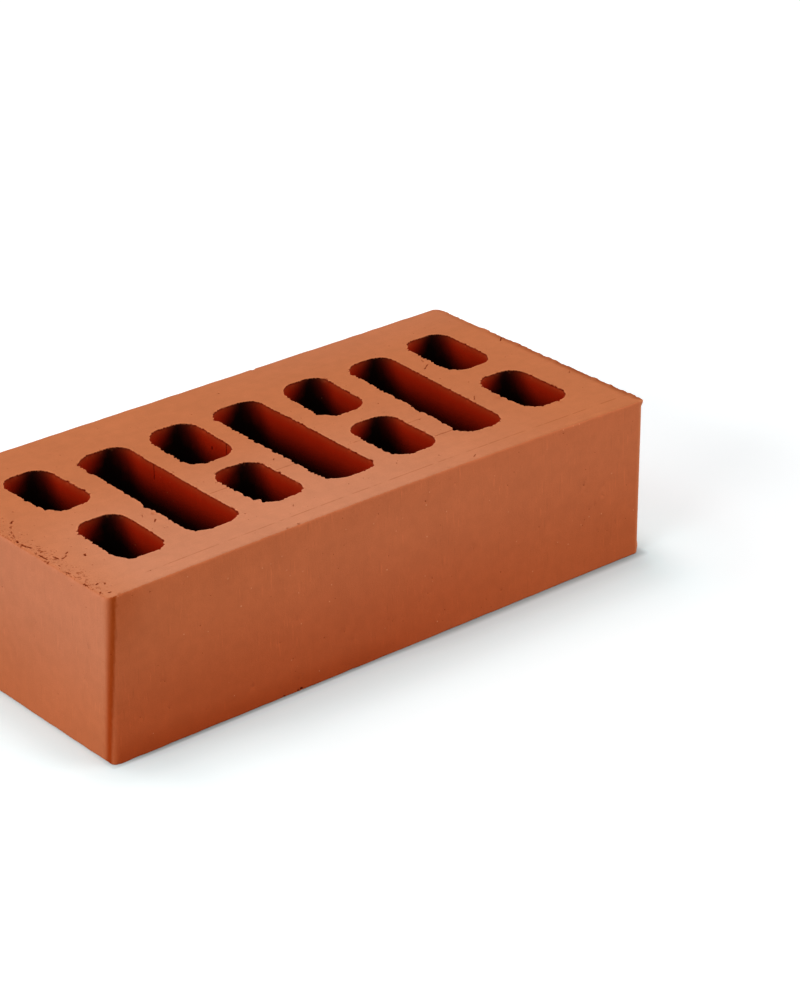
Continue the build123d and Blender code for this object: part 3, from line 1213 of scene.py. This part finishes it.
# The slots' walls, in darker copies of the clay that paint their shade: at the lip, further down,
# and painted black deep down
SLOT_LIP_SHADED_CLAY = (0.37, 0.034, 0.007)
SLOT_SHADED_CLAY = (0.39, 0.0135, 0.001)
SLOT_DEEP_SHADE = (0.003, 0.0005, 0.0)
# Torn clay and crumbs
RAW_CLAY = (0.50, 0.13, 0.045)
CRUMB_CLAY = (0.85, 0.35, 0.17)
# What multiplies the clay's colour, applied twice, at dark marks: painted shade in pits, fissures and drag
# marks and under the slots' lips, and the clay's dark specks and torn rims. Then what multiplies it in
# scored lines, and the painted highlight at the slots' lips
PIT_SHADE = (0.50, 0.21, 0.02)
SCORE_SHADE = (0.80, 0.68, 0.60)
LIP_PAINTED_HIGHLIGHT = 1.08
# The two ends of the fine grain's range
GRAIN_DARK = (0.97, 0.955, 0.94)
GRAIN_PALE = (1.03, 1.045, 1.06)
# How far clouds and patches, and the lines of the wire, go to either side of the plain colour
CLOUDINESS = 0.03
WIRE_CONTRAST = 0.01
# How deep the lines on the clay and its grain are
LINE_DEPTH = 0.03 * MM
GRAIN_DEPTH = 0.08 * MM


def clay_material():
    shader = Shader("fired_clay")
    bed = shader.attribute("bed")
    grain = shader.noise(shader.scaled_place(2.3, 2.3, 2.3), detail=3.0, roughness=0.65)
    wire = shader.noise(shader.scaled_place(1 / 40, 0.9, 1.0))
    streak = shader.noise(shader.scaled_place(1.1, 1.1, 1 / 26))
    colour = shader.mix(bed, face_colour(shader), bed_colour(shader))
    # A painted highlight on the bed along the slots' lips
    lip_highlight = shader.remap(shader.attribute("lip"), 0.0, 1.0, 1.0, LIP_PAINTED_HIGHLIGHT)
    colour = shader.tinted(colour, lip_highlight, scored_lines(shader, bed))
    colour = shader.mix(shader.attribute("slot_wall"), colour, slot_colour(shader))
    colour = varied(shader, marked(shader, colour), bed, grain, wire)
    normal = shader.bump(shader.mix(bed, streak, wire), LINE_DEPTH)
    normal = shader.bump(grain, GRAIN_DEPTH, Normal=normal)
    shader.feed(shader.surface.inputs["Normal"], normal)
    return shader.finish(colour, roughness=0.8, specular_level=0.04)


def face_colour(shader):
    """The clay of the upright faces, with painted shade that makes it darker and redder towards the foot,
    and darker still low down on the near part of the long face.
    """
    along, _, height = shader.place_parts()
    stretcher = shader.attribute("stretcher")
    long_face = shader.mix(shader.remap(along, -100 * MM, 0.0), STRETCHER_CLAY, STRETCHER_FAR_CLAY)
    colour = shader.mix(stretcher, HEADER_CLAY, long_face)
    colour = shader.mix(shader.attribute("corner"), colour, CORNER_CLAY)
    # Painted shade, darker and redder towards the foot
    long_foot = shader.mix(shader.remap(along, 0.0, 100 * MM), STRETCHER_FOOT_SHADE, STRETCHER_FAR_FOOT_SHADE)
    foot = shader.mix(stretcher, HEADER_FOOT_SHADE, long_foot)
    foot = shader.mix(shader.remap(height, 0.0, FOOT_HEIGHT), foot, WHITE)
    # Painted shade low down on the near part of the long face
    near_end = shader.remap(along, 30 * MM, -20 * MM)
    low_down = shader.times(shader.remap(height, CONTACT_HEIGHT, 0.0), near_end, stretcher)
    contact = shader.mix(low_down, WHITE, STRETCHER_CONTACT_SHADE)
    return shader.tinted(colour, foot, contact)


def bed_colour(shader):
    """The clay of the beds. Painted sheen makes it pale towards the near side, but for the near end."""
    along, across, _ = shader.place_parts()
    near_side = shader.remap(across, 30 * MM, -55 * MM)
    off_the_end = shader.remap(along, -124 * MM, -100 * MM, 0.5, 1.0)
    # Painted sheen, towards the near side
    sheen = shader.times(near_side, shader.remap(along, 110 * MM, -20 * MM), off_the_end)
    far = shader.times(shader.remap(across, 30 * MM, 60 * MM), shader.remap(along, -20 * MM, 80 * MM))
    return shader.mix(far, shader.mix(sheen, WIRE_CUT_CLAY, BED_PAINTED_SHEEN), FAR_CLAY)


def slot_colour(shader):
    """The slots' walls in darker copies of the clay as painted shade, which fall to painted black deep
    down and at their shadowed ends.
    """
    clay = shader.mix(shader.attribute("slot_rim"), SLOT_SHADED_CLAY, SLOT_LIP_SHADED_CLAY)
    return shader.mix(shader.attribute("slot_light"), SLOT_DEEP_SHADE, clay)


def marked(shader, colour):
    """A colour with torn clay, pale crumbs, dark specks and torn rims on it, and with painted shade
    in pits and under the slots' lips.
    """
    colour = shader.mix(shader.attribute("raw"), colour, RAW_CLAY)
    pale_specks = shader.specks(0.36, 0.10, 0.10)
    pale = shader.largest(shader.attribute("pale"), shader.times(pale_specks, 0.2))
    colour = shader.mix(pale, colour, CRUMB_CLAY)
    dark_specks = shader.specks(0.42, 0.11, 0.08)
    dark = shader.largest(shader.attribute("dark"), shader.times(dark_specks, 0.5))
    dark = shader.largest(dark, scar_specks(shader))
    # Painted shade in dents and under the lips, and dark specks and rims, applied twice
    pit_shade = shader.mix(dark, WHITE, PIT_SHADE)
    return shader.tinted(colour, pit_shade, pit_shade)


def scar_specks(shader):
    """Fine ragged specks beside the torn arris, thickest at it."""
    thickness = shader.attribute("scar")
    speck = shader.noise(shader.scaled_place(0.75, 0.9, 0.9), detail=3.0, roughness=0.6)
    speck = shader.plus(speck, shader.times(thickness, 0.07))
    return shader.times(shader.remap(speck, 0.60, 0.68, 0.0, 0.75), thickness)


def varied(shader, colour, bed, grain, wire):
    """A colour with clouds, patches and grain on it, and with the lines of the wire or of the die."""
    cloud = shader.noise(shader.scaled_place(1 / 28, 1 / 28, 1 / 28), detail=3.0)
    patch = shader.noise(shader.scaled_place(1 / 5, 1 / 5, 1 / 5))
    clouded = shader.tinted(colour, shader.shade(cloud, CLOUDINESS), shader.shade(patch, CLOUDINESS))
    grained = shader.mix(shader.remap(grain, *NOISE_RANGE), GRAIN_DARK, GRAIN_PALE)
    lined = shader.mix(bed, dragged(shader), shader.shade(wire, WIRE_CONTRAST))
    return shader.tinted(clouded, grained, lined)


def dragged(shader):
    """Short upright streaks that grit drew down the faces, pale and dark ones, in patches."""
    streak = shader.noise(shader.scaled_place(1.5, 1.5, 1 / 8), detail=1.0)
    patch = shader.remap(shader.noise(shader.scaled_place(1 / 16, 1 / 16, 1 / 22)), 0.4, 0.6, 0.25, 1.0)
    pale = shader.times(shader.remap(streak, 0.62, 0.78, 0.0, 0.10), patch)
    dark = shader.times(shader.remap(streak, 0.36, 0.22, 0.0, 0.08), patch)
    return shader.minus(shader.plus(pale, 1.0), dark)


# Faint lines that the cutting frame scored along the upper bed: y at the middle in metres, how
# far they bow towards -Y as a share of x squared, the x that they bow about, half their length and
# their strength
SCORED_LINES = [(-0.0511, 0.115, 0.015, 0.12, 0.75), (-0.0181, 0.0, 0.0, 0.052, 1.0)]
LINE_CORE = 0.15 * MM
LINE_EDGE = 0.4 * MM
LINE_FADE = 4 * MM


def scored_lines(shader, bed):
    """White on the plain clay, and darker on the broken lines that run along the beds."""
    along, across, _ = shader.place_parts()
    strongest = 0.0
    broken = shader.remap(shader.noise(shader.scaled_place(1 / 5, 1 / 30, 1 / 30)), 0.35, 0.55)
    for middle, bow, bow_centre, half_length, strength in SCORED_LINES:
        from_centre = shader.minus(along, bow_centre)
        drop = shader.times(from_centre, from_centre, bow)
        off = shader.math("ABSOLUTE", shader.minus(shader.plus(across, drop), middle))
        reach = shader.math("ABSOLUTE", from_centre)
        within = shader.remap(reach, half_length, half_length - LINE_FADE)
        line = shader.times(shader.remap(off, LINE_EDGE, LINE_CORE), broken, within, strength)
        strongest = shader.largest(line, strongest)
    return shader.mix(shader.times(strongest, bed), WHITE, SCORE_SHADE)


# Camera, at the photograph's place. Angles in degrees, seen from the brick.

CAMERA_AZIMUTH = -40.31
CAMERA_ELEVATION = 25.91
CAMERA_ROLL = -0.15
CAMERA_DISTANCE = 1196 * MM
CAMERA_ASIDE = 41.14 * MM
CAMERA_ABOVE = 35.90 * MM
FOCAL_LENGTH_PIXELS = 3170
IMAGE_HEIGHT_PIXELS = 1000
SENSOR_MM = 36


def add_camera():
    angles = (CAMERA_AZIMUTH, CAMERA_ELEVATION, CAMERA_ROLL)
    azimuth, elevation, roll = (math.radians(angle) for angle in angles)
    back = Vector((
        math.sin(azimuth) * math.cos(elevation),
        -math.cos(azimuth) * math.cos(elevation),
        math.sin(elevation),
    ))
    level_right = Vector((math.cos(azimuth), math.sin(azimuth), 0))
    level_up = back.cross(level_right)
    right = level_right * math.cos(roll) + level_up * math.sin(roll)
    up = level_up * math.cos(roll) - level_right * math.sin(roll)
    data = bpy.data.cameras.new("camera")
    data.sensor_width = SENSOR_MM
    data.lens = FOCAL_LENGTH_PIXELS / IMAGE_HEIGHT_PIXELS * SENSOR_MM
    camera = bpy.data.objects.new("camera", data)
    camera.location = right * CAMERA_ASIDE + up * CAMERA_ABOVE + back * CAMERA_DISTANCE
    camera.rotation_euler = Matrix((right, up, back)).transposed().to_euler()
    bpy.context.scene.collection.objects.link(camera)
    bpy.context.scene.camera = camera


# Floor and lights


def seen_rays(shader):
    """1 for the rays that should meet a white studio: the camera's own, reflected ones and those
    through glass."""
    path = shader.node("ShaderNodeLightPath", {}, {}).outputs
    return shader.largest(path["Is Camera Ray"], path["Is Glossy Ray"], path["Is Transmission Ray"])


# The floor's colour as the camera sees it: by the brick, where it makes up for the red light that
# the brick throws on it, and further off. The others multiply it in single regions, where they
# paint the colour of the brick's shadow.
FLOOR_BY_BRICK = (0.785, 0.915, 0.935)
FLOOR_FAR = (0.92, 0.93, 0.94)
FLOOR_AT_LEFT = (0.93, 0.95, 0.96)
FLOOR_AT_RIGHT = (1.03, 0.975, 0.97)
FLOOR_AT_NEAR_CORNER = (1.0, 0.95, 0.94)
FLOOR_AT_FAR_CORNER = (1.0, 0.96, 0.96)
# The floor's colour to all other rays, and the colour that it glows in
FLOOR_UNSEEN = (0.42, 0.42, 0.42)
FLOOR_GLOW = (0.93, 1.0, 1.0, 1.0)
# Half its width, in metres
FLOOR_REACH = 3.0


class FloorShader(Shader):
    """The same short names, and the regions of the floor round the brick: beyond its -X end, beyond
    its +X end, and at its corner towards -X and -Y."""

    def __init__(self, name):
        super().__init__(name)
        self.along, self.across, _ = self.place_parts()
        self.away = self.distance_from_brick()
        self.at_left = self.remap(self.along, -105 * MM, -135 * MM)
        self.at_right = self.remap(self.along, 115 * MM, 145 * MM)
        self.at_near_corner = self.times(self.at_left, self.remap(self.across, -40 * MM, -62 * MM))

    def distance_from_brick(self):
        size = (LENGTH / 2, WIDTH / 2, 0)
        beyond = self.vector_math("ABSOLUTE", self.place())["Vector"]
        beyond = self.vector_math("SUBTRACT", beyond, size)["Vector"]
        beyond = self.vector_math("MAXIMUM", beyond, (0, 0, 0))["Vector"]
        return self.vector_math("LENGTH", beyond)["Value"]

    def contact(self):
        """Painted shadow: less than 1 close to the brick's foot, and least along the long face."""
        from_foot = self.times(self.away, self.remap(self.along, 30 * MM, -30 * MM, 1.0, 2.2))
        close = self.remap(from_foot, 0.0, 4 * MM, 0.55, 1.0)
        shade = self.times(close, self.remap(from_foot, 0.0, 14 * MM, 0.86, 1.0))
        lifted = self.minus(self.at_left, self.times(self.at_near_corner, 0.25))
        lifted = self.largest(lifted, self.times(self.at_right, 0.85))
        return self.plus(self.times(self.minus(1.0, lifted), shade), lifted)

    def tint(self):
        """The colour of the floor as the camera sees it, but for its glow."""
        near_right = self.times(self.at_right, self.remap(self.away, 70 * MM, 30 * MM))
        at_far_corner = self.times(
            near_right,
            self.remap(self.across, -55 * MM, -75 * MM),
            self.remap(self.away, 32 * MM, 10 * MM),
        )
        regions = (
            (self.minus(self.at_left, self.at_near_corner), FLOOR_AT_LEFT),
            (near_right, FLOOR_AT_RIGHT),
            (at_far_corner, FLOOR_AT_FAR_CORNER),
            (self.at_near_corner, FLOOR_AT_NEAR_CORNER),
        )
        plain = self.mix(self.remap(self.away, 0.0, 70 * MM), FLOOR_BY_BRICK, FLOOR_FAR)
        return self.tinted(plain, *[self.mix(share, WHITE, colour) for share, colour in regions])

    def glow(self):
        """How much the floor glows of itself to the camera, which makes it white away from the brick.
        Nearer the brick, the glow is painted light that thins the brick's shadow, most at the ends.
        """
        open_left = self.times(
            self.remap(self.along, -50 * MM, -100 * MM),
            self.remap(self.away, 5 * MM, 18 * MM),
        )
        near = self.plus(
            self.remap(self.away, 6 * MM, 34 * MM, 0.12, 0.24),
            self.times(self.at_left, 0.11),
            self.times(open_left, 0.06),
            self.times(self.at_near_corner, 0.02),
        )
        right = self.plus(
            self.remap(self.away, 0.0, 45 * MM, 0.33, 0.205),
            self.remap(self.across, -30 * MM, 30 * MM, 0.0, 0.06),
        )
        outward = self.minus(self.away, self.times(self.at_right, 30 * MM))
        return self.plus(
            self.times(near, self.minus(1.0, self.at_right)),
            self.times(right, self.at_right),
            self.remap(outward, 50 * MM, 200 * MM, 0.0, 0.20),
        )


def floor_material():
    """White to the camera, with the brick's shadow on it, deepened by painted shadow at the foot and
    thinned by painted light round it, and a plain pale grey to the other rays.
    """
    shader = FloorShader("floor")
    seen = seen_rays(shader)
    contact = shader.contact()
    colour = shader.mix(seen, FLOOR_UNSEEN, shader.tinted(shader.tint(), contact))
    glow = shader.times(shader.glow(), contact, seen)
    shader.feed(shader.surface.inputs["Emission Strength"], glow)
    shader.surface.inputs["Emission Color"].default_value = FLOOR_GLOW
    return shader.finish(colour, roughness=1.0, specular_level=0.0)


def add_floor():
    data = bpy.data.meshes.new("floor")
    quarters = [(-1, -1), (1, -1), (1, 1), (-1, 1)]
    corners = [(x * FLOOR_REACH, y * FLOOR_REACH, 0) for x, y in quarters]
    data.from_pydata(corners, [], [(0, 1, 2, 3)])
    data.materials.append(floor_material())
    floor = bpy.data.objects.new("floor", data)
    bpy.context.scene.collection.objects.link(floor)


# Soft boxes, all aimed at the brick: name, place and size in metres, and watts
SOFT_BOXES = [
    ("overhead_box", (-0.1, 0.1, 1.3), (1.5, 1.5), 7.5),
    ("back_box", (0.0, 0.8, 1.0), (1.2, 1.0), 3.0),
    ("left_box", (-1.3, -0.15, 0.5), (0.9, 0.8), 10.1),
    ("right_box", (0.9, -1.0, 0.5), (0.9, 0.8), 6.4),
    ("low_right_box", (1.1, -0.65, 0.5), (0.6, 0.6), 2.0),
]
AIM = (0, 0, 0.03)
WORLD_LEVEL = 0.2


def add_area_light(name, place, aim, size, power):
    data = bpy.data.lights.new(name, "AREA")
    data.shape = "RECTANGLE"
    data.size, data.size_y = size
    data.energy = power
    light = bpy.data.objects.new(name, data)
    light.location = place
    light.rotation_euler = (Vector(aim) - Vector(place)).to_track_quat("-Z", "Y").to_euler()
    bpy.context.scene.collection.objects.link(light)


class WorldShader(Shader):
    """The same short names, for the nodes of the world."""

    def __init__(self, name):
        world = bpy.data.worlds.new(name)
        world.use_nodes = True
        self.tree = world.node_tree
        self.surface = self.tree.nodes["Background"]
        bpy.context.scene.world = world


def add_lights():
    world = WorldShader("studio")
    level = world.remap(seen_rays(world), 0.0, 1.0, WORLD_LEVEL, 1.0)
    world.surface.inputs["Color"].default_value = (1, 1, 1, 1)
    world.feed(world.surface.inputs["Strength"], level)
    for name, place, size, power in SOFT_BOXES:
        add_area_light(name, place, AIM, size, power)


bpy.context.scene.view_settings.view_transform = "Standard"
brick = brick_object()
brick.data.materials.append(clay_material())
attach(brick, "root")
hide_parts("brick")
add_camera()
add_floor()
add_lights()
